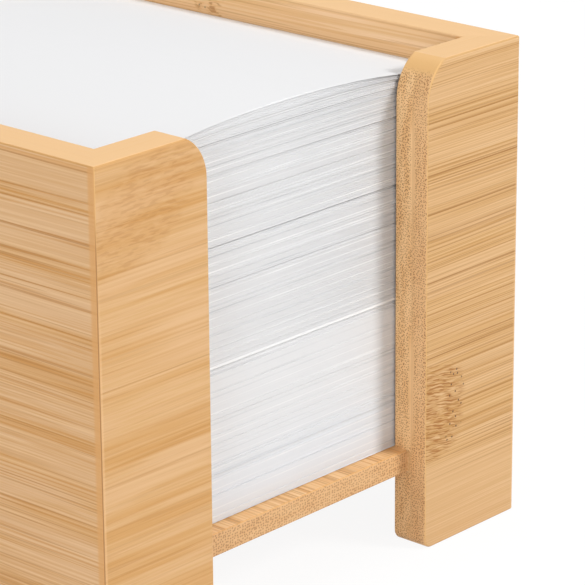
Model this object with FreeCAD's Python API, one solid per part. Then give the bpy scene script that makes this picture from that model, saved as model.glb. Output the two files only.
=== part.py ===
"""Desk holder for loose memo sheets: bamboo boards with mitred corners, an open
front, a floor board held in grooves, and the stack of square sheets inside.

Millimetres. The origin is at the middle of the footprint on the table, +Z is up
and the open front faces -Y.
"""
import FreeCAD
import Part
import math
import os

Vector = FreeCAD.Vector
Z_AXIS = Vector(0, 0, 1)

# Memo sheets and the room they have between the walls.
SHEET_WIDTH = 90.0
SHEET_CLEARANCE = 0.25

# Wall boards.
BOARD_THICKNESS = 7.25
WALL_HEIGHT = 90.0

# Front posts, either side of the finger opening. The shoulder at the top of each is
# an arc that leaves the post's side smoothly and meets the top at a blunt corner.
POST_WIDTH = 25.2
SHOULDER_RADIUS = 8.3
SHOULDER_WIDTH = 4.8
POST_FOOT_RADIUS = 2.0

# Floor board and the groove that holds it.
FLOOR_UNDERSIDE = 13.9
FLOOR_THICKNESS = 4.2
GROOVE_DEPTH = 3.0
GROOVE_END_GAP = 0.1

# Relief under the side and back walls, which leaves a foot at each corner.
FOOT_LENGTH = 18.0
RELIEF_HEIGHT = 8.0
RELIEF_RADIUS = 4.0

# Eased edges.
ARRIS_RADIUS = 0.4
FLOOR_ARRIS_RADIUS = 0.3

# Stack of sheets: each pack lifts out by itself, and is made of wads of sheets.
# The thickness of each wad is given at the middle of the sheet, from the bottom up.
LOWER_WAD_THICKNESSES = (1.45, 3.6, 3.7, 5.5, 4.4, 8.9)
MIDDLE_WAD_THICKNESSES = (6.4, 4.7, 5.1, 5.1)
UPPER_WAD_THICKNESSES = (5.5, 2.3, 2.5, 2.1)
TOP_WAD_THICKNESSES = (1.5, 2.0, 1.6, 2.1)
LOOSE_WAD_THICKNESSES = (1.1, 0.4, 0.3)
PACK_GAP = 0.12

# The upper sheets are bowed. The left and right edges of the top one lie lower than
# its middle by the drop, and the bow dies out over the depth below it. The top sheet
# has a round crown, and below the flattening depth the sheets are flat in the middle
# and bend down near their edges. The powers give the two shapes of the bow.
BOW_DROP = 4.4
BOW_DEPTH = 14.0
FLATTENING_DEPTH = 3.0
ROUND_BOW_POWER = 2
FLAT_BOW_POWER = 4
BOW_STATIONS = 12

# How far a cutter reaches past the faces that it cuts, and the slack for telling
# where an edge lies.
OVERSHOOT = 1.0
TOLERANCE = 0.01

# Sizes that follow from the ones above.
INNER_SIDE = SHEET_WIDTH + 2 * SHEET_CLEARANCE
OUTER_SIDE = INNER_SIDE + 2 * BOARD_THICKNESS
INNER_FACE = INNER_SIDE / 2
OUTER_FACE = OUTER_SIDE / 2
OPENING_SIDE = OUTER_FACE - POST_WIDTH
FLOOR_TOP = FLOOR_UNDERSIDE + FLOOR_THICKNESS
GROOVE_SIDE = INNER_SIDE + 2 * GROOVE_DEPTH


def centred_box(size_x, size_y, low, high):
    """Box centred on the origin in plan, from height low to height high."""
    corner = Vector(-size_x / 2, -size_y / 2, low)
    return Part.makeBox(size_x, size_y, high - low, corner)


def opening_cutter():
    """Cutter for the finger opening: straight sides, with a rounded shoulder at
    the top of each post and a smaller round at its foot."""
    side = OPENING_SIDE
    top = WALL_HEIGHT
    foot = POST_FOOT_RADIUS
    y = -OUTER_FACE - OVERSHOOT
    sweep = math.acos(1 - SHOULDER_WIDTH / SHOULDER_RADIUS)
    shoulder_centre = top - SHOULDER_RADIUS * math.sin(sweep)

    def arc(sign, radius, centre_z, turn):
        """Arc from the post's side, bending away from the opening."""
        points = []
        for part_turn in (0, turn / 2, turn):
            x = side + radius * (1 - math.cos(part_turn))
            points.append(Vector(sign * x, y, centre_z + radius * math.sin(part_turn)))
        return points

    def half(sign):
        low = arc(sign, foot, foot, -math.pi / 2)
        high = arc(sign, SHOULDER_RADIUS, shoulder_centre, sweep)
        straight = Part.LineSegment(low[0], high[0]).toShape()
        return [Part.Arc(*low).toShape(), straight, Part.Arc(*high).toShape()]

    edges = half(1) + half(-1)
    for height, reach in ((0, side + foot), (top, side + SHOULDER_WIDTH)):
        left = Vector(-reach, y, height)
        right = Vector(reach, y, height)
        edges.append(Part.LineSegment(left, right).toShape())
    profile = Part.Face(Part.Wire(Part.__sortEdges__(edges)))
    return profile.extrude(Vector(0, BOARD_THICKNESS + 2 * OVERSHOOT, 0))


def relief_cutter(turn):
    """Cutter under one wall, between its corner feet. At turn 0 it is the back wall."""
    half = OUTER_FACE - FOOT_LENGTH
    height = RELIEF_HEIGHT
    block = Part.makeBox(
        2 * half, BOARD_THICKNESS + 2 * OVERSHOOT, 2 * height,
        Vector(-half, INNER_FACE - OVERSHOOT, -height))
    corners = []
    for edge in block.Edges:
        box = edge.BoundBox
        if abs(box.ZMin - height) < TOLERANCE and box.YLength > OVERSHOOT:
            corners.append(edge)
    block = block.makeFillet(RELIEF_RADIUS, corners)
    block.rotate(Vector(0, 0, 0), Z_AXIS, turn)
    return block


def lies_at(low, length, place):
    """Whether an edge lies in the plane at plus or minus place along one axis."""
    return length < TOLERANCE and abs(abs(low) - place) < TOLERANCE


def eased_edges(ring):
    """Edges of the ring of walls that are rounded over: every edge between a
    board's faces and its narrow sides, the four outer corners and the corners
    where the shoulders of the posts meet the top."""
    chosen = []
    for edge in ring.Edges:
        box = edge.BoundBox
        on_x = lies_at(box.XMin, box.XLength, OUTER_FACE)
        on_y = lies_at(box.YMin, box.YLength, OUTER_FACE)
        in_x = lies_at(box.XMin, box.XLength, INNER_FACE)
        in_y = lies_at(box.YMin, box.YLength, INNER_FACE)
        inner_corner = in_x and in_y
        shoulder = (
            lies_at(box.XMin, box.XLength, OPENING_SIDE + SHOULDER_WIDTH)
            and lies_at(box.ZMin, box.ZLength, WALL_HEIGHT))
        if shoulder or (not inner_corner and (on_x or on_y or in_x or in_y)):
            chosen.append(edge)
    return chosen


def wall_ring():
    """The four walls as one ring, before it is parted at the mitres."""
    ring = centred_box(OUTER_SIDE, OUTER_SIDE, 0, WALL_HEIGHT)
    inside = centred_box(INNER_SIDE, INNER_SIDE, -OVERSHOOT, WALL_HEIGHT + OVERSHOOT)
    ring = ring.cut(inside)
    ring = ring.cut(opening_cutter())
    for turn in (0, 90, -90):
        ring = ring.cut(relief_cutter(turn))
    ring = ring.makeFillet(ARRIS_RADIUS, eased_edges(ring))
    groove = centred_box(GROOVE_SIDE, GROOVE_SIDE, FLOOR_UNDERSIDE, FLOOR_TOP)
    return ring.cut(groove)


def quarter(turn):
    """Wedge between two mitre planes. At turn 0 it holds the back wall."""
    reach = OUTER_FACE + OVERSHOOT
    middle = Vector(0, 0, -OVERSHOOT)
    right = Vector(reach, reach, -OVERSHOOT)
    left = Vector(-reach, reach, -OVERSHOOT)
    triangle = Part.Face(Part.makePolygon([middle, right, left, middle]))
    wedge = triangle.extrude(Vector(0, 0, WALL_HEIGHT + 2 * OVERSHOOT))
    wedge.rotate(Vector(0, 0, 0), Z_AXIS, turn)
    return wedge


def wall_boards():
    """The ring of walls, parted at the mitres. The front falls into its two posts."""
    ring = wall_ring()
    front = ring.common(quarter(180))
    posts = sorted(front.Solids, key=lambda post: post.CenterOfMass.x)
    return {
        "back_wall": ring.common(quarter(0)),
        "left_wall": ring.common(quarter(90)),
        "right_wall": ring.common(quarter(-90)),
        "front_left_post": posts[0],
        "front_right_post": posts[-1],
    }


def floor_board():
    """Square board in the grooves. Its front edge shows in the finger opening."""
    side = GROOVE_SIDE - 2 * GROOVE_END_GAP
    board = centred_box(side, side, FLOOR_UNDERSIDE, FLOOR_TOP)
    front = []
    for edge in board.Edges:
        box = edge.BoundBox
        if abs(box.YMax + side / 2) < TOLERANCE and box.XLength > TOLERANCE:
            front.append(edge)
    return board.makeFillet(FLOOR_ARRIS_RADIUS, front)


def fall(level, stack_top, share):
    """How far a sheet has come down from its middle, at a share of the way to its edge."""
    depth = stack_top - level
    drop = BOW_DROP * max(1 - depth / BOW_DEPTH, 0) ** 2
    flatness = min(depth / FLATTENING_DEPTH, 1)
    power = ROUND_BOW_POWER + (FLAT_BOW_POWER - ROUND_BOW_POWER) * flatness
    return drop * abs(share) ** power


def sheet_line(level, lift, stack_top):
    """Line of the sheet at one level across its width, seen from the front."""
    half = SHEET_WIDTH / 2
    points = []
    for station in range(BOW_STATIONS + 1):
        share = 2 * station / BOW_STATIONS - 1
        height = level + lift - fall(level, stack_top, share)
        points.append(Vector(half * share, -half, height))
    if points[0].isEqual(Vector(-half, -half, level + lift), TOLERANCE):
        return Part.LineSegment(points[0], points[-1]).toShape()
    curve = Part.BSplineCurve()
    curve.interpolate(points)
    return curve.toShape()


def wad(bottom, lift, top, stack_top):
    """Tight wad of sheets between two levels. The lift leaves a gap under it."""
    low = sheet_line(bottom, lift, stack_top)
    high = sheet_line(top, 0, stack_top)
    edges = [low, high]
    for end in (0, -1):
        side = Part.LineSegment(low.Vertexes[end].Point, high.Vertexes[end].Point)
        edges.append(side.toShape())
    profile = Part.Face(Part.Wire(Part.__sortEdges__(edges)))
    return profile.extrude(Vector(0, SHEET_WIDTH, 0))


def paper_wads():
    """The stack of sheets, pack by pack and wad by wad."""
    packs = {
        "lower_pack": LOWER_WAD_THICKNESSES,
        "middle_pack": MIDDLE_WAD_THICKNESSES,
        "upper_pack": UPPER_WAD_THICKNESSES,
        "top_pack": TOP_WAD_THICKNESSES,
        "loose_sheets": LOOSE_WAD_THICKNESSES,
    }
    stack_top = FLOOR_TOP + sum(sum(thicknesses) for thicknesses in packs.values())
    level = FLOOR_TOP
    shapes = {}
    for name, thicknesses in packs.items():
        lift = PACK_GAP
        for number, thickness in enumerate(thicknesses, 1):
            top = level + thickness
            shapes[f"{name}_wad_{number}"] = wad(level, lift, top, stack_top)
            level = top
            lift = 0
    return shapes


def main():
    os.makedirs("parts", exist_ok=True)
    shapes = wall_boards()
    shapes["floor_board"] = floor_board()
    shapes.update(paper_wads())
    for name, shape in shapes.items():
        solids = shape.Solids
        if len(solids) != 1 or not solids[0].isValid():
            raise ValueError(f"{name} is not one valid solid")
        solids[0].exportStep(f"parts/{name}.step")


main()
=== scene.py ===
"""Looks of a bamboo desk holder for loose memo sheets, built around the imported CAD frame.

Lengths are in metres and written as so many mm. Inside the materials, places and widths on
a board or a sheet are plain mm. The boards keep their CAD shapes and get procedural bamboo.
The stack of sheets is rebuilt as many separate thin sheets.
"""

import math
import random

import bpy
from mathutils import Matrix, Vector


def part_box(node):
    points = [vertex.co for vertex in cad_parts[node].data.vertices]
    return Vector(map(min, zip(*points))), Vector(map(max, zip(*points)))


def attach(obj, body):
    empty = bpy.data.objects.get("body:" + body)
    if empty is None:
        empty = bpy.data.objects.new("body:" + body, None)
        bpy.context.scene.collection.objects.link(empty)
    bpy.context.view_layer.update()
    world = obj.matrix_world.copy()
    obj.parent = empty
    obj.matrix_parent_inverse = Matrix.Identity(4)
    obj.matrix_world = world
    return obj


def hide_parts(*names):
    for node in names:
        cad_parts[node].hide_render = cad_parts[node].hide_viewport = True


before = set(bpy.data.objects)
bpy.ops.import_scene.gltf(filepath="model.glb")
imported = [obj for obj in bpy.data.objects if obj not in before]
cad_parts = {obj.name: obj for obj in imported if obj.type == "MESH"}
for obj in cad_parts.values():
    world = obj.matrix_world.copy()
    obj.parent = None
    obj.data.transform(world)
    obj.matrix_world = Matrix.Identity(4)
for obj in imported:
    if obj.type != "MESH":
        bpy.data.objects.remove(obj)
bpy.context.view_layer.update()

MM = 0.001

# The stack of sheets, as in the CAD model.
PACK_WADS = {
    "lower_pack": 6,
    "middle_pack": 4,
    "upper_pack": 4,
    "top_pack": 4,
    "loose_sheets": 3,
}
BOW_DROP = 4.4 * MM
BOW_DEPTH = 14.0 * MM
FLATTENING_DEPTH = 3.0 * MM
ROUND_BOW_POWER = 2
FLAT_BOW_POWER = 4

# Camera, in the frame of the part, for a square picture.
CAMERA_PLACE = Vector((-382.4, -392.3, 233.6)) * MM
CAMERA_HEADING = math.radians(47.815)
CAMERA_PITCH = math.radians(19.144)
CAMERA_ROLL = math.radians(0.41)
SENSOR = 36.0
LENS = 198.95


# --- Node helpers -----------------------------------------------------------------------


class Nodes:
    """Short calls for building one material's node tree."""

    def __init__(self, name):
        self.material = bpy.data.materials.new(name)
        self.material.use_nodes = True
        self.tree = self.material.node_tree
        self.tree.nodes.clear()
        self.output = self.tree.nodes.new("ShaderNodeOutputMaterial")

    def put(self, socket, value):
        if isinstance(value, bpy.types.NodeSocket):
            self.tree.links.new(value, socket)
        elif value is not None:
            socket.default_value = value

    def add(self, kind, **inputs):
        node = self.tree.nodes.new(kind)
        for name, value in inputs.items():
            self.put(node.inputs[name.replace("_", " ")], value)
        return node

    def math(self, operation, a, b=None, c=None):
        node = self.tree.nodes.new("ShaderNodeMath")
        node.operation = operation
        for socket, value in zip(node.inputs, (a, b, c)):
            self.put(socket, value)
        return node.outputs[0]

    def absolute(self, value):
        return self.math("ABSOLUTE", value)

    def distance(self, value, place):
        """How far a value lies from a place, on either side."""
        return self.absolute(self.math("SUBTRACT", value, place))

    def ramp(self, value, low, high, to_low=0.0, to_high=1.0):
        """Smooth step from low to high."""
        node = self.tree.nodes.new("ShaderNodeMapRange")
        node.interpolation_type = "SMOOTHSTEP"
        for name, number in (("Value", value), ("From Min", low), ("From Max", high),
                             ("To Min", to_low), ("To Max", to_high)):
            self.put(node.inputs[name], number)
        return node.outputs["Result"]

    def vector(self, x, y, z):
        return self.add("ShaderNodeCombineXYZ", X=x, Y=y, Z=z).outputs[0]

    def noise(self, x, y, z, detail=2.0):
        node = self.add("ShaderNodeTexNoise", Vector=self.vector(x, y, z), Scale=1.0, Detail=detail)
        return node.outputs[0]

    def cells(self, x, y, randomness):
        """Distance to the nearest of the points strewn over a plane, one to a unit square."""
        node = self.tree.nodes.new("ShaderNodeTexVoronoi")
        node.voronoi_dimensions = "2D"
        self.put(node.inputs["Vector"], self.vector(x, y, 0.0))
        node.inputs["Scale"].default_value = 1.0
        node.inputs["Randomness"].default_value = randomness
        return node.outputs["Distance"]

    def mix(self, factor, a, b):
        node = self.tree.nodes.new("ShaderNodeMix")
        node.data_type = "RGBA"
        sockets = {socket.identifier: socket for socket in node.inputs}
        self.put(sockets["Factor_Float"], factor)
        self.put(sockets["A_Color"], a)
        self.put(sockets["B_Color"], b)
        return {socket.identifier: socket for socket in node.outputs}["Result_Color"]

    def axes(self, output, scale):
        """The x, y and z of one output of the texture coordinates, times a scale."""
        coordinates = self.add("ShaderNodeTexCoord")
        scaled = self.tree.nodes.new("ShaderNodeVectorMath")
        scaled.operation = "SCALE"
        self.put(scaled.inputs[0], coordinates.outputs[output])
        scaled.inputs["Scale"].default_value = scale
        split = self.add("ShaderNodeSeparateXYZ", Vector=scaled.outputs[0])
        return dict(zip("xyz", split.outputs))

    def finish(self, shader):
        self.put(self.output.inputs["Surface"], shader.outputs[0])
        return self.material


def rgb(red, green, blue):
    """Scene-linear colour from 8-bit display values."""

    def linear(value):
        share = value / 255
        if share <= 0.04045:
            return share / 12.92
        return ((share + 0.055) / 1.055) ** 2.4

    return (linear(red), linear(green), linear(blue), 1.0)


# --- Bamboo -----------------------------------------------------------------------------

# Painted sheen: the paler colour given to faces that face up, where the light falls brightest.
PAINTED_TOP_SHEEN = rgb(245, 201, 147)
GLINT = rgb(242, 205, 158)
MARK = rgb(172, 112, 48)
PORE = rgb(70, 44, 24)
END_PALE = rgb(245, 203, 148)
END_TAN = rgb(236, 189, 132)
END_STRIP = rgb(224, 176, 124)
BUNDLE = rgb(148, 82, 22)
GLUE = rgb(150, 98, 52)
CORNER_ORANGE = rgb(221, 164, 100)
CORNER_PALE = rgb(240, 194, 140)
# Painted highlight on the rounded edge around a cut end.
ARRIS_HIGHLIGHT = rgb(238, 190, 126)
FILLER_TAN = rgb(206, 156, 98)
FILLER_PALE = rgb(226, 182, 130)


class Tone:
    """Colours of one board: its ground from pale to deep, and its lines."""

    def __init__(self, pale, ground, deep, line, dark):
        self.pale = rgb(*pale)
        self.ground = rgb(*ground)
        self.deep = rgb(*deep)
        self.line = rgb(*line)
        self.dark = rgb(*dark)


LEFT_TONE = Tone((223, 181, 135), (215, 167, 112), (209, 156, 92), (203, 143, 72), (178, 122, 58))
# The right wall's tone is paler. This is partly its own colour and partly painted light, standing in for
# light bounced from the sheets onto its inner face.
RIGHT_WALL_LIT_TONE = Tone((250, 212, 172), (244, 204, 157), (238, 194, 142), (224, 174, 112), (200, 150, 92))
BACK_TONE = Tone((236, 194, 148), (228, 182, 128), (222, 172, 112), (208, 154, 90), (180, 128, 70))
LEFT_POST_TONE = Tone((226, 181, 130), (220, 173, 114), (214, 161, 96), (205, 147, 78), (182, 127, 63))
RIGHT_POST_TONE = Tone((222, 178, 126), (217, 171, 114), (214, 167, 107), (193, 140, 70), (164, 110, 44))
FLOOR_TONE = Tone((248, 206, 152), (238, 184, 120), (228, 166, 94), (202, 140, 70), (168, 112, 54))

# Wall boards have two plies. Their glue line lies this far from the middle of the holder,
# and the grain of the outer ply is that of another strip of bamboo, moved by the shift.
PLY_SPLIT = 49.2
PLY_SHIFT = 41.0

# Length and width of the features that the ground of a board is made of.
DRIFT = (60, 25)
FIBRE = (10, 0.22)
BAND = (160, 2.6)
PATCH = (45, 6)

# Width over which a plain band fades out, and how plain it is.
CALM_EDGE = 0.3
CALM = 0.85

# The topmost line of a wall, and the heights between which its face turns paler with the painted sheen
# of the top.
TOP_LINE_HEIGHT = 89.2
TOP_SHEEN_HEIGHTS = (89.2, 91.2)

# Heights between which the glue line at an upright corner and the pale strip beside it
# come in, going down, and the widths of the strip and of the line, from full to none.
GLUE_HEIGHTS = (84.0, 74.0)
PALE_STRIP_HEIGHTS = (76.0, 55.0)
ORANGE_STRIP_WIDTHS = (1.75, 1.05)
PALE_STRIP_WIDTHS = (0.75, 0.45)
GLUE_WIDTHS = (0.22, 0.06)

# Spacing of the fibre bundles on a cut end.
WALL_CELL = 0.37
FLOOR_CELL = 0.50


class Grain:
    """A board's own axes, and the noises that its grain is made of."""

    def __init__(self, nodes, axes, along, across, depth, outer_ply, seed):
        self.nodes = nodes
        self.along = axes[along]
        self.across = axes[across]
        self.depth = axes[depth]
        self.seed = seed
        self.drift = nodes.noise(
            nodes.math("MULTIPLY", self.along, 1 / DRIFT[0]),
            nodes.math("MULTIPLY", self.across, 1 / DRIFT[1]), seed, 1.0)
        shifted = nodes.math("MULTIPLY_ADD", outer_ply, PLY_SHIFT, self.across)
        self.drifted = nodes.math("ADD", self.drift, shifted)
        self.fibre = self.streaks(FIBRE, seed, 2.0)
        self.band = self.streaks(BAND, seed + 7.3, 1.0)
        self.patch = self.streaks(PATCH, seed + 2.9, 1.0)

    def streaks(self, size, seed, detail=0.0):
        """Noise drawn out along the board: streaks so many mm long and wide."""
        length, width = size
        return self.nodes.noise(
            self.nodes.math("MULTIPLY_ADD", self.along, 1 / length, seed),
            self.nodes.math("MULTIPLY_ADD", self.drifted, 1 / width, 3 * seed),
            self.nodes.math("MULTIPLY", self.depth, 1 / width), detail)

    def ground(self, tone):
        """The board's colour before any lines."""
        colour = self.nodes.mix(self.nodes.ramp(self.fibre, 0.3, 0.7), tone.ground, tone.pale)
        colour = self.nodes.mix(self.nodes.ramp(self.band, 0.42, 0.66, 0.0, 0.90), colour, tone.deep)
        return self.nodes.mix(self.nodes.ramp(self.patch, 0.48, 0.66, 0.0, 0.90), colour, tone.pale)

    def calm_bands(self, colour, tone, plain):
        """Evens out the plain bands. Also gives how strong the lines may be anywhere."""
        nodes = self.nodes
        busy = nodes.ramp(self.band, 0.32, 0.56, 0.35, 1.0)
        for low, high in plain:
            off_band = nodes.distance(self.across, (low + high) / 2)
            half = (high - low) / 2
            calm = nodes.ramp(off_band, half + CALM_EDGE, half - CALM_EDGE, 0.0, CALM)
            busy = nodes.math("MULTIPLY", busy, nodes.math("SUBTRACT", 1.0, calm))
            even = nodes.mix(nodes.ramp(self.fibre, 0.3, 0.7, 0.0, 0.5), tone.pale, tone.ground)
            colour = nodes.mix(calm, colour, even)
        return colour, busy

    def lines(self, colour, tone, layers, busy):
        """Lays the layers of grain lines over a colour. Also gives their relief."""
        nodes = self.nodes
        relief = 0.0
        for number, (length, width, rare, strength) in enumerate(layers):
            streaks = self.streaks((length, width), self.seed + 9.7 + 5.6 * number)
            mask = nodes.math("MULTIPLY", nodes.ramp(streaks, rare, rare + 0.06, 0.0, strength), busy)
            colour = nodes.mix(mask, colour, tone.dark if number else tone.line)
            pale_mask = nodes.ramp(streaks, 0.98 - rare, 0.92 - rare, 0.0, 0.5 * strength)
            colour = nodes.mix(pale_mask, colour, GLINT)
            relief = nodes.math("ADD", relief, mask)
        return colour, relief

    def marks(self, colour, tone, marks, relief):
        """Lays single long lines over a colour, and adds their relief."""
        nodes = self.nodes
        for height, width, strength in marks:
            wandering = nodes.math("MULTIPLY_ADD", self.drift, 0.5, self.across)
            off_mark = nodes.distance(wandering, height + 0.25)
            faded = nodes.math("MULTIPLY", nodes.ramp(self.fibre, 0.25, 0.5, 0.5, 1.0), strength)
            mask = nodes.math("MULTIPLY", nodes.ramp(off_mark, 0.65 * width, 0.35 * width), faded)
            colour = nodes.mix(mask, colour, tone.dark)
            relief = nodes.math("ADD", relief, mask)
        return colour, relief


class CulmJoint:
    """Place and look of one joint of the bamboo culm on a face, in mm.

    The joint shows as short strokes along the grain. stroke gives their length and
    width, wave how far they wander, tilt how much they slope against the grain, dark and
    glint how strong the dark and the pale ones are, cloud how much the ground between
    them darkens, and pores how dark the row of pores beside them is.
    """

    def __init__(self, along, across, half_along, half_across, lean=0.0,
                 stroke=(3.0, 0.7), wave=0.8, tilt=0.0, dark=0.6, glint=0.3, cloud=0.2, pores=0.0):
        self.along = along
        self.across = across
        self.half_along = half_along
        self.half_across = half_across
        self.lean = lean
        self.stroke = stroke
        self.wave = wave
        self.tilt = tilt
        self.dark = dark
        self.glint = glint
        self.cloud = cloud
        self.pores = pores

    def paint(self, grain, colour, tone, relief):
        """Lays the joint over a colour, and adds the relief of its strokes."""
        nodes = grain.nodes
        off_across = nodes.math("SUBTRACT", grain.across, self.across)
        leaning = nodes.math("MULTIPLY_ADD", off_across, -self.lean, grain.along)
        off_along = nodes.math("SUBTRACT", leaning, self.along)
        mask = self.outline(grain, off_along, off_across)

        length, width = self.stroke
        wander = nodes.noise(
            nodes.math("MULTIPLY", grain.along, 0.45),
            nodes.math("MULTIPLY", grain.across, 0.3), grain.seed + 1.7)
        sloping = nodes.math("MULTIPLY_ADD", off_along, self.tilt, grain.across)
        wandering = nodes.math("MULTIPLY_ADD", wander, self.wave, sloping)
        strokes = nodes.noise(
            nodes.math("MULTIPLY_ADD", off_along, 1 / length, grain.seed),
            nodes.math("MULTIPLY", wandering, 1 / width), 0.0, 1.0)
        dashes = nodes.math("MULTIPLY", nodes.ramp(strokes, 0.51, 0.61), mask)
        glints = nodes.math("MULTIPLY", nodes.ramp(strokes, 0.42, 0.34), mask)
        colour = nodes.mix(nodes.math("MULTIPLY", mask, self.cloud), colour, tone.line)
        colour = nodes.mix(nodes.math("MULTIPLY", glints, self.glint), colour, GLINT)
        colour = nodes.mix(nodes.math("MULTIPLY", dashes, self.dark), colour, MARK)
        if self.pores:
            colour = nodes.mix(self.pore_row(grain, off_along, mask), colour, PORE)
        depth = nodes.math("MULTIPLY", dashes, 0.6 * self.dark)
        return colour, nodes.math("ADD", relief, depth)

    def outline(self, grain, off_along, off_across):
        """Mask of the whole joint, with an uneven edge."""
        nodes = grain.nodes
        share_along = nodes.math("DIVIDE", off_along, self.half_along)
        share_across = nodes.math("DIVIDE", off_across, self.half_across)
        edge = nodes.noise(
            nodes.math("MULTIPLY", grain.along, 0.3),
            nodes.math("MULTIPLY", grain.across, 0.45), grain.seed)
        squares = nodes.math(
            "ADD", nodes.math("MULTIPLY", share_along, share_along),
            nodes.math("POWER", nodes.absolute(share_across), 4.0))
        return nodes.ramp(nodes.math("ADD", squares, nodes.math("SUBTRACT", edge, 0.5)), 1.0, 0.3)

    def pore_row(self, grain, off_along, mask):
        """Mask of the pores, which lie in a row toward one side of the joint."""
        nodes = grain.nodes
        off_pore = nodes.cells(
            nodes.math("MULTIPLY_ADD", off_along, 0.55, grain.seed),
            nodes.math("MULTIPLY", grain.across, 0.5), 0.9)
        off_row = nodes.distance(off_along, 0.70 * self.half_along)
        return nodes.math(
            "MULTIPLY", nodes.ramp(off_pore, 0.13, 0.05, 0.0, self.pores),
            nodes.math("MULTIPLY", nodes.ramp(off_row, 2.9, 1.9), nodes.ramp(mask, 0.05, 0.30)))


def end_grain(grain, outer_ply, cell, plies):
    """Colour of cut bamboo, and its fibre bundles: small dark dots on a pale ground."""
    nodes = grain.nodes
    off_bundle = nodes.cells(
        nodes.math("MULTIPLY", grain.across, 0.85 / cell),
        nodes.math("MULTIPLY", grain.depth, 1 / cell), 0.8 if plies else 0.6)
    patches = nodes.noise(
        nodes.math("MULTIPLY", grain.across, 0.12), nodes.math("MULTIPLY", grain.depth, 0.6), 0.0)
    edge = nodes.math("MULTIPLY_ADD", patches, 0.30, 0.12 if plies else 0.16)
    dot = nodes.ramp(nodes.math("SUBTRACT", off_bundle, edge), 0.08, -0.08)
    ground = nodes.mix(nodes.ramp(patches, 0.35, 0.65), END_PALE, END_TAN)
    if plies:
        stretch = nodes.noise(nodes.math("MULTIPLY", grain.across, 0.05), 0.0, 0.0, 0.0)
        off_split = nodes.distance(nodes.absolute(grain.depth), PLY_SPLIT)
        near_split = nodes.math("SUBTRACT", nodes.math("MULTIPLY", patches, 1.9), off_split)
        strip = nodes.math(
            "MULTIPLY", nodes.ramp(stretch, 0.44, 0.58), nodes.ramp(near_split, 0.25, 0.55))
        dot = nodes.math("MULTIPLY", dot, nodes.math("SUBTRACT", 1.0, strip))
        ground = nodes.mix(nodes.math("MULTIPLY", outer_ply, 0.5), ground, END_STRIP)
    else:
        ground = nodes.mix(0.6, ground, END_STRIP)
    return nodes.mix(nodes.math("MULTIPLY", dot, 0.74 if plies else 0.50), ground, BUNDLE), dot


def top_sheen_and_edges(grain, axes, normal, colour, tone, plies, top_line):
    """Lays the painted sheen of the top, the painted shade on its rounded edges and the topmost line
    over a colour.
    """
    nodes = grain.nodes
    # Painted sheen: the face turns paler near the top, toward the colour of the top.
    near_top = nodes.math("MULTIPLY_ADD", grain.patch, 1.6, axes["z"])
    top_sheen_band = nodes.ramp(near_top, *TOP_SHEEN_HEIGHTS, 0.0, 0.35 if plies else 0.0)
    colour = nodes.mix(top_sheen_band, colour, PAINTED_TOP_SHEEN)
    # Painted shade: the rounded upper edge is darkened to offset the highlight that the lamps put on it.
    painted_edge_shade = nodes.math(
        "MULTIPLY", nodes.ramp(normal["z"], 0.10, 0.35), nodes.ramp(normal["z"], 0.98, 0.85, 0.0, 0.85))
    colour = nodes.mix(painted_edge_shade, colour, tone.deep)
    # Painted sheen: faces that face up are made paler.
    upward_sheen = nodes.ramp(normal["z"], 0.75, 0.97, 0.0, 0.90 if plies else 0.2)
    colour = nodes.mix(upward_sheen, colour, PAINTED_TOP_SHEEN)
    if top_line:
        off_line = nodes.distance(axes["z"], TOP_LINE_HEIGHT)
        colour = nodes.mix(nodes.ramp(off_line, 0.35, 0.15, 0.0, 0.45), colour, CORNER_ORANGE)
    return colour


def cut_ends(grain, facing_along, outer_ply, colour, tone, cell, plies):
    """Lays the end grain, and a painted highlight on the rounded edges around it, over a colour. Also
    gives its pits.
    """
    nodes = grain.nodes
    end_colour, dot = end_grain(grain, outer_ply, cell, plies)
    at_end = nodes.ramp(facing_along, 0.72, 0.86)
    if plies:
        off_split = nodes.distance(nodes.absolute(grain.depth), PLY_SPLIT)
        end_colour = nodes.mix(nodes.ramp(off_split, 0.22, 0.08, 0.0, 0.5), end_colour, tone.pale)
    # Painted highlight on the rounded edge around the cut end.
    arris_highlight_mask = nodes.ramp(facing_along, 0.30, 0.55)
    colour = nodes.mix(nodes.math("MULTIPLY", arris_highlight_mask, 0.75 if plies else 0.15), colour, ARRIS_HIGHLIGHT)
    colour = nodes.mix(at_end, colour, end_colour)
    return colour, nodes.math("MULTIPLY", nodes.math("MULTIPLY", dot, at_end), 0.25)


def upright_corner(nodes, axes, normal, colour, corner):
    """Lays the glue line of a mitred corner, and the strip beside it, over a colour."""
    off_mitre = nodes.absolute(nodes.math(
        "SUBTRACT", nodes.absolute(axes["x"]), nodes.absolute(axes["y"])))
    upright = nodes.ramp(nodes.absolute(normal["z"]), 0.6, 0.3)
    if corner == CORNER_ORANGE:
        strip = nodes.ramp(off_mitre, *ORANGE_STRIP_WIDTHS, 0.0, 0.80)
    else:
        strip = nodes.math(
            "MULTIPLY", nodes.ramp(off_mitre, *PALE_STRIP_WIDTHS, 0.0, 0.50),
            nodes.ramp(axes["z"], *PALE_STRIP_HEIGHTS))
    colour = nodes.mix(nodes.math("MULTIPLY", strip, upright), colour, corner)
    seam = nodes.math(
        "MULTIPLY", nodes.ramp(off_mitre, *GLUE_WIDTHS, 0.0, 0.7), nodes.ramp(axes["z"], *GLUE_HEIGHTS))
    return nodes.mix(
        nodes.math("MULTIPLY", seam, nodes.math("MULTIPLY_ADD", upright, 0.8, 0.2)), colour, GLUE)


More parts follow.
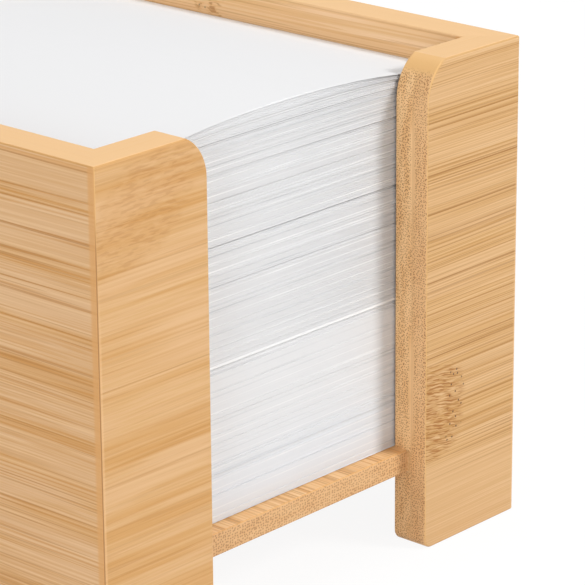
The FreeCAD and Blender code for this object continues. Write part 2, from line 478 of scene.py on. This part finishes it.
def bamboo(name, along, across, depth, seed, tone, lines, joints=(), marks=(), plain=(),
           corner=None, plies=True, cell=WALL_CELL, top_line=False):
    """Bamboo board material.

    along, across and depth name the board's own axes. lines holds the layers of grain
    lines: length and width in mm, how rare they are, and how strong. marks holds single
    long lines: place across the board, width and strength. plain holds the bands across
    the board that have few lines.
    """
    nodes = Nodes(name)
    axes = nodes.axes("Object", 1 / MM)
    normal = nodes.axes("Normal", 1.0)
    outer_ply = nodes.math("GREATER_THAN", nodes.absolute(axes[depth]), PLY_SPLIT if plies else -1.0)
    grain = Grain(nodes, axes, along, across, depth, outer_ply, seed)
    colour = grain.ground(tone)
    colour, busy = grain.calm_bands(colour, tone, plain)
    colour, relief = grain.lines(colour, tone, lines, busy)
    colour, relief = grain.marks(colour, tone, marks, relief)
    for joint in joints:
        colour, relief = joint.paint(grain, colour, tone, relief)
    colour = top_sheen_and_edges(grain, axes, normal, colour, tone, plies, top_line)
    colour, pits = cut_ends(grain, nodes.absolute(normal[along]), outer_ply, colour, tone, cell, plies)
    if corner is not None:
        colour = upright_corner(nodes, axes, normal, colour, corner)

    bump = nodes.add("ShaderNodeBump", Strength=0.35, Distance=0.05 * MM)
    height = nodes.math("MULTIPLY_ADD", grain.fibre, 0.35, nodes.math("MULTIPLY", relief, -1.0))
    nodes.put(bump.inputs["Height"], nodes.math("SUBTRACT", height, pits))
    shader = nodes.add(
        "ShaderNodeBsdfPrincipled", Base_Color=colour,
        Roughness=nodes.ramp(grain.fibre, 0.2, 0.8, 0.44, 0.58), Normal=bump.outputs[0])
    shader.inputs["Specular IOR Level"].default_value = 0.4
    return nodes.finish(shader)


def dress(node, material):
    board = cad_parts[node]
    board.data.materials.clear()
    board.data.materials.append(material)


def dress_boards():
    dress("left_wall", bamboo(
        "bamboo_left", "y", "z", "x", 3.0, LEFT_TONE,
        lines=[(60, 0.38, 0.57, 0.62), (40, 0.29, 0.62, 0.46)],
        marks=[(88.9, 0.30, 0.7), (77.0, 0.45, 0.6), (66.1, 0.35, 0.6), (55.3, 0.30, 0.5)],
        plain=[(84.4, 88.5), (77.7, 80.2), (73.4, 76.3)],
        corner=CORNER_ORANGE, top_line=True))
    # The right wall's paler tone is partly painted light.
    dress("right_wall", bamboo(
        "bamboo_right", "y", "z", "x", 11.0, RIGHT_WALL_LIT_TONE,
        lines=[(60, 0.50, 0.58, 0.5), (50, 0.36, 0.62, 0.5)], corner=CORNER_ORANGE,
        joints=[CulmJoint(16.0, 84.0, 4.0, 10.0, stroke=(2.2, 0.6), pores=0.6)]))
    dress("back_wall", bamboo(
        "bamboo_back", "x", "z", "y", 17.0, BACK_TONE,
        lines=[(60, 0.55, 0.57, 0.6), (60, 0.40, 0.62, 0.5)], corner=CORNER_PALE,
        joints=[CulmJoint(-12.0, 52.0, 6.0, 11.0, 0.1, stroke=(2.6, 0.5), pores=0.7)]))
    dress("front_left_post", bamboo(
        "bamboo_left_post", "x", "z", "y", 23.0, LEFT_POST_TONE,
        lines=[(28, 0.46, 0.58, 0.32), (24, 0.34, 0.64, 0.20)],
        marks=[(71.7, 0.25, 0.36), (68.1, 0.5, 0.28), (52.8, 0.25, 0.45), (36.6, 0.3, 0.35)],
        joints=[CulmJoint(-42.0, 81.0, 12.0, 10.0, 0.6, stroke=(3.0, 0.50), wave=0.4,
                          dark=0.21, glint=0.14, cloud=0.28)],
        corner=CORNER_PALE))
    dress("front_right_post", bamboo(
        "bamboo_right_post", "x", "z", "y", 31.0, RIGHT_POST_TONE,
        lines=[(70, 0.25, 0.58, 0.60), (60, 0.22, 0.61, 0.46)],
        marks=[(79.2, 0.24, 0.65), (69.7, 0.28, 0.75), (62.7, 0.24, 0.65), (58.8, 0.22, 0.55),
               (50.3, 0.28, 0.75), (37.6, 0.22, 0.6), (36.2, 0.24, 0.75)],
        plain=[(-2.0, 13.0)],
        joints=[CulmJoint(29.5, 25.5, 9.0, 9.5, 0.08, stroke=(3.2, 0.30), wave=0.5, tilt=0.16,
                          dark=0.95, glint=0.45, cloud=0.45, pores=0.95)],
        corner=CORNER_PALE))
    dress("floor_board", bamboo(
        "bamboo_floor", "y", "x", "z", 41.0, FLOOR_TONE,
        lines=[(60, 0.50, 0.56, 0.7), (50, 0.36, 0.60, 0.6)], plies=False, cell=FLOOR_CELL))


# --- Filler where the floor board meets the posts -----------------------------------------

FILLER_RINGS = 3
FILLER_SPOKES = 28
FILLER_HALF_DEPTH = 0.75 * MM
FILLER_HALF_HEIGHT = 2.7 * MM
FILLER_FORWARD = 0.15 * MM
FILLER_RAISE = 0.1 * MM
FILLER_LIFT = 0.07 * MM
FILLER_SINK = 0.02 * MM
FILLER_SQUARENESS = 0.7


def rounded(value):
    """Swells a cosine or sine, so that a circle made of them turns squarer."""
    return math.copysign(abs(value) ** FILLER_SQUARENESS, value)


def filler_points(side, source):
    """Points of the smear: its middle, and rings of spokes around it."""
    low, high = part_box("floor_board")
    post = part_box("front_right_post" if side > 0 else "front_left_post")
    face = post[0][0] if side > 0 else post[1][0]
    middle_y = low[1] - FILLER_FORWARD
    middle_z = (low[2] + high[2]) / 2 + FILLER_RAISE
    lobes = [(source.uniform(0, math.tau), count, source.uniform(0.03, 0.09)) for count in (2, 3, 5, 7)]
    points = [(face - side * FILLER_LIFT, middle_y, middle_z)]
    for ring in range(1, FILLER_RINGS + 1):
        share = ring / FILLER_RINGS
        for spoke in range(FILLER_SPOKES):
            angle = math.tau * spoke / FILLER_SPOKES
            bulge = sum(size * math.sin(count * angle + phase) for phase, count, size in lobes)
            reach = share * (1 + bulge)
            lift = FILLER_LIFT * (1 - share ** 3) - FILLER_SINK * share ** 3
            points.append((
                face - side * lift,
                middle_y + FILLER_HALF_DEPTH * reach * rounded(math.cos(angle)),
                middle_z + FILLER_HALF_HEIGHT * reach * rounded(math.sin(angle))))
    return points


def filler_faces():
    """Faces between the rings of the smear, and one that closes it toward the post."""
    faces = []
    for spoke in range(FILLER_SPOKES):
        after = (spoke + 1) % FILLER_SPOKES
        faces.append((0, 1 + spoke, 1 + after))
        for ring in range(FILLER_RINGS - 1):
            inner = 1 + ring * FILLER_SPOKES
            outer = inner + FILLER_SPOKES
            faces.append((inner + spoke, outer + spoke, outer + after, inner + after))
    last_ring = 1 + (FILLER_RINGS - 1) * FILLER_SPOKES
    faces.append(tuple(last_ring + spoke for spoke in reversed(range(FILLER_SPOKES))))
    return faces


def filler_patch(name, side, seed):
    """Thin smear of filler over the joint between the floor board and one post."""
    points = filler_points(side, random.Random(seed))
    faces = filler_faces()
    if side > 0:
        faces = [tuple(reversed(corners)) for corners in faces]
    mesh = bpy.data.meshes.new(name)
    mesh.from_pydata(points, [], faces)
    for polygon in mesh.polygons:
        polygon.use_smooth = True
    mesh.materials.append(filler_material())
    piece = bpy.data.objects.new(name, mesh)
    bpy.context.collection.objects.link(piece)
    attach(piece, "holder")


def filler_material():
    nodes = Nodes("wood_filler")
    axes = nodes.axes("Object", 1 / MM)
    grit = nodes.noise(*(nodes.math("MULTIPLY", axes[axis], 2.5) for axis in "xyz"), 3.0)
    colour = nodes.mix(nodes.ramp(grit, 0.35, 0.65), FILLER_TAN, FILLER_PALE)
    shader = nodes.add("ShaderNodeBsdfPrincipled", Base_Color=colour)
    shader.inputs["Roughness"].default_value = 0.7
    return nodes.finish(shader)


# --- Sheets of paper --------------------------------------------------------------------

PAPER_LOW = rgb(232, 232, 233)
PAPER_HIGH = rgb(235, 235, 236)
# Painted tint that offsets the warm light bounced from the wood onto the lower sheets.
PAPER_COOL = rgb(232, 234, 238)
# Painted shade for the lines of shade between sheets.
PAPER_SHADED = rgb(214, 215, 217)
# Painted highlight for sheet edges that catch the light.
PAPER_HIGHLIGHT = rgb(253, 253, 253)

# Heights on the stack: where the white seam between two packs lies (its white is a painted highlight),
# the stretch over which the sheets come to differ more in painted highlight and painted shade, and the
# one over which they turn cooler, going down (a painted tint that offsets the warm light bounced from
# the wood).
WHITE_SEAM = 46.0
BUSY_HEIGHTS = (46.0, 56.0)
COOL_HEIGHTS = (36.0, 19.0)


def paper():
    nodes = Nodes("note_paper")
    island = nodes.add("ShaderNodeNewGeometry").outputs["Random Per Island"]
    axes = nodes.axes("Object", 1 / MM)
    tooth = nodes.noise(*(nodes.math("MULTIPLY", axes[axis], 1.5) for axis in "xyz"))
    along = nodes.noise(
        nodes.math("MULTIPLY", axes["x"], 1 / 18), nodes.math("MULTIPLY", island, 60), 0.0, 1.0)
    busy = nodes.math(
        "MULTIPLY", nodes.ramp(axes["z"], *BUSY_HEIGHTS, 0.45, 1.0),
        nodes.ramp(along, 0.40, 0.60, 0.15, 1.0))
    # Painted highlight: a few sheets are painted near white, as edges that catch the light.
    painted_highlight = nodes.math("MULTIPLY", nodes.ramp(island, 0.88, 0.92), busy)
    # Painted shade: a few sheets are painted grey, as lines of shade between the sheets.
    shaded_sheets = nodes.math("MULTIPLY", nodes.ramp(island, 0.07, 0.04), busy)
    colour = nodes.mix(island, PAPER_LOW, PAPER_HIGH)
    # Painted tint: the lower sheets turn cooler, to offset the warm light bounced onto them from the
    # wood.
    colour = nodes.mix(nodes.ramp(axes["z"], *COOL_HEIGHTS), colour, PAPER_COOL)
    colour = nodes.mix(shaded_sheets, colour, PAPER_SHADED)
    # Painted highlight along the white seam between two packs.
    off_seam = nodes.distance(axes["z"], WHITE_SEAM)
    painted_highlight = nodes.math("MAXIMUM", painted_highlight, nodes.ramp(off_seam, 0.28, 0.12, 0.0, 0.8))
    colour = nodes.mix(painted_highlight, colour, PAPER_HIGHLIGHT)
    shader = nodes.add(
        "ShaderNodeBsdfPrincipled", Roughness=nodes.ramp(tooth, 0.2, 0.8, 0.8, 0.88), Base_Color=colour)
    shader.inputs["Specular IOR Level"].default_value = 0.25
    return nodes.finish(shader)


SHEET_STATIONS = 24


class SheetMesh:
    """Collects thin sheets into one mesh."""

    def __init__(self):
        self.points = []
        self.faces = []

    def add(self, left, right, front, back, low, high, slope):
        """One sheet. front, back, low and high are functions of x, and slope is how far
        the upper side of the front edge lies behind its lower side."""
        first = len(self.points)
        for station in range(SHEET_STATIONS + 1):
            x = left + (right - left) * station / SHEET_STATIONS
            self.points.extend((
                (x, front(x), low(x)), (x, front(x) + slope, high(x)),
                (x, back(x), low(x)), (x, back(x), high(x))))
        corners = (0, 2, 3, 1)
        for station in range(SHEET_STATIONS):
            here = first + 4 * station
            there = here + 4
            for side in range(4):
                a = corners[side]
                b = corners[(side + 1) % 4]
                self.faces.append((here + a, here + b, there + b, there + a))
        last = first + 4 * SHEET_STATIONS
        self.faces.append(tuple(first + corner for corner in reversed(corners)))
        self.faces.append(tuple(last + corner for corner in corners))

    def build(self, name, material):
        mesh = bpy.data.meshes.new(name)
        mesh.from_pydata(self.points, [], self.faces)
        mesh.materials.append(material)
        mesh.update()
        piece = bpy.data.objects.new(name, mesh)
        bpy.context.collection.objects.link(piece)
        return piece


def fall(level, stack_top, share):
    """How far a sheet has come down from its middle, at a share of the way to its edge."""
    depth = stack_top - level
    drop = BOW_DROP * max(1 - depth / BOW_DEPTH, 0) ** 2
    flatness = min(depth / FLATTENING_DEPTH, 1)
    power = ROUND_BOW_POWER + (FLAT_BOW_POWER - ROUND_BOW_POWER) * flatness
    return drop * abs(share) ** power


def ragged(source, size):
    """Slight waviness of a sheet's edge, as a function of x."""
    phases = [source.uniform(0, math.tau) for wave in range(3)]
    rates = [source.uniform(60, 160), source.uniform(200, 420), source.uniform(900, 1500)]
    shares = (0.5, 0.3, 0.2)

    def offset(x):
        return size * sum(
            share * math.sin(rate * x + phase) for share, rate, phase in zip(shares, rates, phases))

    return offset


def sheet_thicknesses(source, total, typical):
    """Random thicknesses that add up to the total."""
    parts = []
    while sum(parts) < total:
        parts.append(source.uniform(0.6, 1.5) * typical)
    scale = total / sum(parts)
    return [part * scale for part in parts]


# Thickness of the sheets in the two upper packs, and in the others.
UPPER_PACKS = ("top_pack", "loose_sheets")
UPPER_SHEET = 0.15 * MM
LOWER_SHEET = 0.20 * MM
SHEET_SEED = 5

# How far back the front edges lie: anywhere, at the seam on top of a wad, at the deeper
# seams, and at the top of a pack. They come forward at the bottom of a pack. The last two
# fade out over the fading depth.
BASE_RECESS = 0.08 * MM
SEAM_RECESS = 0.13 * MM
DEEP_SEAMS = {"upper_pack_wad_2": 0.28 * MM, "middle_pack_wad_2": 0.15 * MM}
TOP_RECESS = {
    "lower_pack": 0.50 * MM,
    "middle_pack": 0.40 * MM,
    "upper_pack": 0.22 * MM,
    "top_pack": 0.04 * MM,
    "loose_sheets": 0.0,
}
FOOT_FORWARD = 0.16 * MM
FADING_DEPTH = 0.5 * MM

# How unevenly the sheets lie, as standard deviations: shift and turn of any sheet.
FRONT_SCATTER = 0.005 * MM
SIDE_SCATTER = 0.05 * MM
TURN_SCATTER = 0.0002

# Some sheets stand out and some lie back: chance, range of the shift and scatter of the
# turn. These happen less often below the calm height, and come in over the length above.
OUT_CHANCE = 0.16
OUT_RANGE = (0.06 * MM, 0.20 * MM)
OUT_TURN = 0.0010
OUT_SLOPE = (0.6, 1.3)
FURTHEST_OUT = 0.18 * MM
BACK_CHANCE = 0.12
BACK_RANGE = (0.05 * MM, 0.14 * MM)
BACK_TURN = 0.0012
CALM_SHARE = 0.40
CALM_HEIGHT = 50 * MM
CALM_LENGTH = 20 * MM

# Waviness of the front edge, of a torn front edge and of the back edge.
FRONT_WAVE = 0.010 * MM
TORN_WAVE = 0.05 * MM
BACK_WAVE = 0.015 * MM

# Air over a sheet, at most and as a share of its thickness. It widens toward the right,
# from the spread's start on. Below the white seam the sheets lie tight on the left, and
# their edges are even there.
AIR = 0.03 * MM
AIR_SHARE = 0.12
SPREAD_START = -5 * MM
SPREAD_LENGTH = 30 * MM
TIGHT_AIR = 0.10
TIGHT_SHIFT = 0.15
LOOSE_SPREAD = 2.0


def build_sheets():
    material = paper()
    source = random.Random(SHEET_SEED)
    stack_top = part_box("loose_sheets_wad_3")[1][2]
    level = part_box("floor_board")[1][2]
    for pack, count in PACK_WADS.items():
        for number in range(1, count + 1):
            node = f"{pack}_wad_{number}"
            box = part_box(node)
            bottom = box[0][2] + fall(level, stack_top, 1)
            level = box[1][2]
            sheets = wad_sheets(source, pack, number, box, bottom, stack_top)
            piece = sheets.build(node + "_sheets", material)
            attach(piece, pack)
            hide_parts(node)


def wad_sheets(source, pack, number, box, bottom, stack_top):
    """The sheets of one wad, from the height of its bottom at the middle up."""
    top = box[1][2]
    typical = UPPER_SHEET if pack in UPPER_PACKS else LOWER_SHEET
    thicknesses = sheet_thicknesses(source, top - bottom, typical)
    sheets = SheetMesh()
    z = bottom
    for index, thickness in enumerate(thicknesses):
        first_of_pack = number == 1 and index == 0
        last_of_wad = index == len(thicknesses) - 1
        recess = BASE_RECESS
        if number == PACK_WADS[pack]:
            recess += TOP_RECESS[pack] * math.exp(-(top - z - thickness) / FADING_DEPTH)
        elif last_of_wad:
            recess += DEEP_SEAMS.get(f"{pack}_wad_{number}", SEAM_RECESS)
        if number == 1:
            recess -= FOOT_FORWARD * math.exp((bottom - z) / FADING_DEPTH)
        torn = first_of_pack or (top == stack_top and last_of_wad)
        add_sheet(sheets, source, box, z, z + thickness, stack_top, recess, torn)
        z += thickness
    return sheets


def add_sheet(sheets, source, box, bottom, top, stack_top, recess, torn):
    """Adds one sheet, or a few that lie tight, between two heights at its middle."""
    low, high = box
    half = (high[0] - low[0]) / 2
    uneven = CALM_SHARE + (1 - CALM_SHARE) * min(max((bottom - CALM_HEIGHT) / CALM_LENGTH, 0), 1)
    scatter = source.gauss(0, FRONT_SCATTER)
    turn = source.gauss(0, TURN_SCATTER)
    slope = 0.0
    chance = source.random()
    if torn or chance < OUT_CHANCE * uneven:
        scatter -= source.uniform(*OUT_RANGE)
        slope = source.uniform(*OUT_SLOPE) * (top - bottom)
        turn = -abs(source.gauss(0, OUT_TURN))
    elif chance < (OUT_CHANCE + BACK_CHANCE) * uneven:
        scatter += source.uniform(*BACK_RANGE)
        turn = source.gauss(0, BACK_TURN)
    shift = max(scatter, -FURTHEST_OUT - recess)
    edge = ragged(source, TORN_WAVE if torn else FRONT_WAVE)
    back_edge = ragged(source, BACK_WAVE)
    back_shift = source.gauss(0, SIDE_SCATTER)
    side_shift = source.gauss(0, SIDE_SCATTER)
    air = min(AIR, (top - bottom) * AIR_SHARE)
    tight = bottom < WHITE_SEAM * MM

    def spread(x):
        return min(max((x - SPREAD_START) / SPREAD_LENGTH, 0), 1)

    def gap(x):
        if tight:
            return air * (TIGHT_AIR + (1 - TIGHT_AIR) * spread(x))
        return air * (1 + LOOSE_SPREAD * spread(x))

    def front(x):
        share = TIGHT_SHIFT + (1 - TIGHT_SHIFT) * spread(x) if tight else 1
        return low[1] + recess + share * shift + turn * x + edge(x)

    def back(x):
        return high[1] + back_shift + turn * x + back_edge(x)

    def lower_side(x):
        return bottom - fall(bottom, stack_top, x / half)

    def upper_side(x):
        return top - gap(x) - fall(top, stack_top, x / half)

    sheets.add(low[0] + side_shift, high[0] + side_shift, front, back, lower_side, upper_side, slope)


# --- Stage, light and camera ------------------------------------------------------------

FLOOR_REACH = 3.0
FLOOR_DIFFUSE = (0.8, 0.8, 0.8, 1.0)
SEEN_DIFFUSE = (0.10, 0.10, 0.10, 1.0)
SEEN_GLOW = 0.91
WHITE = (1.0, 1.0, 1.0, 1.0)


def stage_floor():
    """White floor. What the camera sees of it glows, and still takes the object's shadow."""
    mesh = bpy.data.meshes.new("stage_floor")
    signs = [(-1, -1), (1, -1), (1, 1), (-1, 1)]
    corners = [(FLOOR_REACH * x, FLOOR_REACH * y, 0) for x, y in signs]
    mesh.from_pydata(corners, [], [(0, 1, 2, 3)])
    floor = bpy.data.objects.new("stage_floor", mesh)
    bpy.context.collection.objects.link(floor)

    nodes = Nodes("stage_white")
    path = nodes.add("ShaderNodeLightPath")
    seen = nodes.math(
        "MAXIMUM", path.outputs["Is Camera Ray"],
        nodes.math("MAXIMUM", path.outputs["Is Glossy Ray"], path.outputs["Is Transmission Ray"]))
    plain = nodes.add("ShaderNodeBsdfDiffuse", Color=FLOOR_DIFFUSE)
    shaded = nodes.add("ShaderNodeBsdfDiffuse", Color=SEEN_DIFFUSE)
    glow = nodes.add("ShaderNodeEmission", Color=WHITE, Strength=SEEN_GLOW)
    both = nodes.add("ShaderNodeAddShader")
    nodes.put(both.inputs[0], shaded.outputs[0])
    nodes.put(both.inputs[1], glow.outputs[0])
    choice = nodes.add("ShaderNodeMixShader")
    nodes.put(choice.inputs[0], seen)
    nodes.put(choice.inputs[1], plain.outputs[0])
    nodes.put(choice.inputs[2], both.outputs[0])
    mesh.materials.append(nodes.finish(choice))


AMBIENT = 0.355
# Each lamp: its place, the light that it adds on a surface facing it, and its size.
LAMPS = {
    "key": (Vector((0.52, -0.95, 0.85)), 0.49, 0.32),
    "left": (Vector((-1.30, -0.32, 0.55)), 0.41, 1.1),
    "top": (Vector((0.10, 0.20, 1.40)), 0.30, 0.9),
}


def light_world():
    """Even light from all around, and plain white where the camera sees past the floor."""
    world = bpy.data.worlds.new("studio")
    bpy.context.scene.world = world
    world.use_nodes = True
    tree = world.node_tree
    tree.nodes.clear()
    path = tree.nodes.new("ShaderNodeLightPath")
    strength = tree.nodes.new("ShaderNodeMapRange")
    strength.inputs["To Min"].default_value = AMBIENT
    strength.inputs["To Max"].default_value = 1.0
    background = tree.nodes.new("ShaderNodeBackground")
    background.inputs["Color"].default_value = WHITE
    output = tree.nodes.new("ShaderNodeOutputWorld")
    tree.links.new(path.outputs["Is Camera Ray"], strength.inputs["Value"])
    tree.links.new(strength.outputs["Result"], background.inputs["Strength"])
    tree.links.new(background.outputs[0], output.inputs["Surface"])


def hang_lamps():
    for name, (place, light, size) in LAMPS.items():
        lamp = bpy.data.lights.new(name, "AREA")
        lamp.energy = light * math.pi ** 2 * place.length_squared
        lamp.size = size
        holder = bpy.data.objects.new(name, lamp)
        holder.location = place
        holder.rotation_euler = (-place).to_track_quat("-Z", "Y").to_euler()
        bpy.context.collection.objects.link(holder)


def place_camera():
    forward = Vector((
        math.cos(CAMERA_PITCH) * math.sin(CAMERA_HEADING),
        math.cos(CAMERA_PITCH) * math.cos(CAMERA_HEADING),
        -math.sin(CAMERA_PITCH)))
    level = Vector((math.cos(CAMERA_HEADING), -math.sin(CAMERA_HEADING), 0))
    up = level.cross(forward)
    right = level * math.cos(CAMERA_ROLL) - up * math.sin(CAMERA_ROLL)
    up = right.cross(forward)
    lens = bpy.data.cameras.new("camera")
    lens.sensor_width = SENSOR
    lens.lens = LENS
    lens.clip_start = 10 * MM
    camera = bpy.data.objects.new("camera", lens)
    matrix = camera.matrix_world.to_3x3()
    matrix.col[0] = right
    matrix.col[1] = up
    matrix.col[2] = -forward
    camera.matrix_world = matrix.to_4x4()
    camera.location = CAMERA_PLACE
    bpy.context.collection.objects.link(camera)
    bpy.context.scene.camera = camera


dress_boards()
filler_patch("filler_right", 1, 8)
filler_patch("filler_left", -1, 9)
build_sheets()
stage_floor()
light_world()
hang_lamps()
place_camera()
bpy.context.scene.view_settings.view_transform = "Standard"
